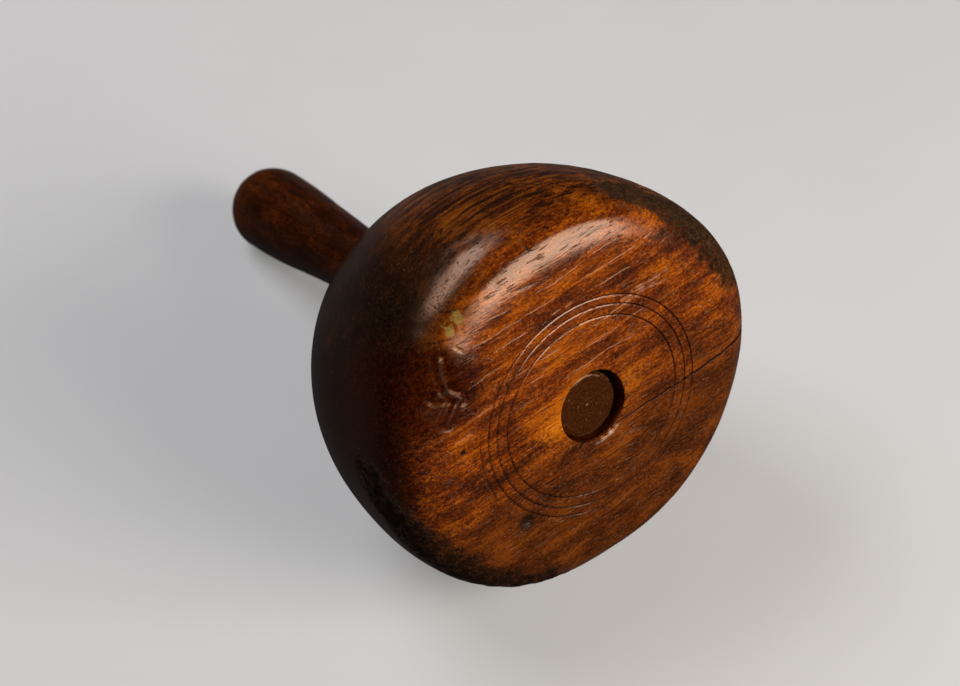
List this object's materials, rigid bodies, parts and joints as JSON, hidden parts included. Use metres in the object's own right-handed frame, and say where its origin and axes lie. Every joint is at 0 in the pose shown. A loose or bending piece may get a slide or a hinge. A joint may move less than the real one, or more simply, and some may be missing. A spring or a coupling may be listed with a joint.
{
  "type": "butter mold",
  "caption": "Turned wooden butter mold: an egg-shaped solid head with a flat print face cut with concentric rings, bored through for a loose handle whose stem slides in it.",
  "frame": {"origin": "centre of the flat print face, on the axis of the bore", "axes": "+Z along the bore away from the print face, towards the domed end of the handle; +Y along the grain of the head, its longer diameter; +X across the grain"},
  "size_m": [0.104, 0.1112, 0.1685],
  "materials": {
    "head_wood": "old hand-rubbed oil and butter-fat patina on open-grained wood, orange red-brown on the face and nearly black on the sides, satin sheen on the shoulder",
    "handle_wood": "hand-worn amber to umber brown wood with a swirled figure, satin, darker at the end grain of the stem"
  },
  "bodies": {
    "head": {"head": "head_wood"},
    "handle": {"handle": "handle_wood"}
  },
  "joints": [
    {"name": "handle_slide", "type": "slide", "parent": "head", "child": "handle", "axis": [0, 0, 1], "range_m": [-0.022, 0.06]}
  ]
}
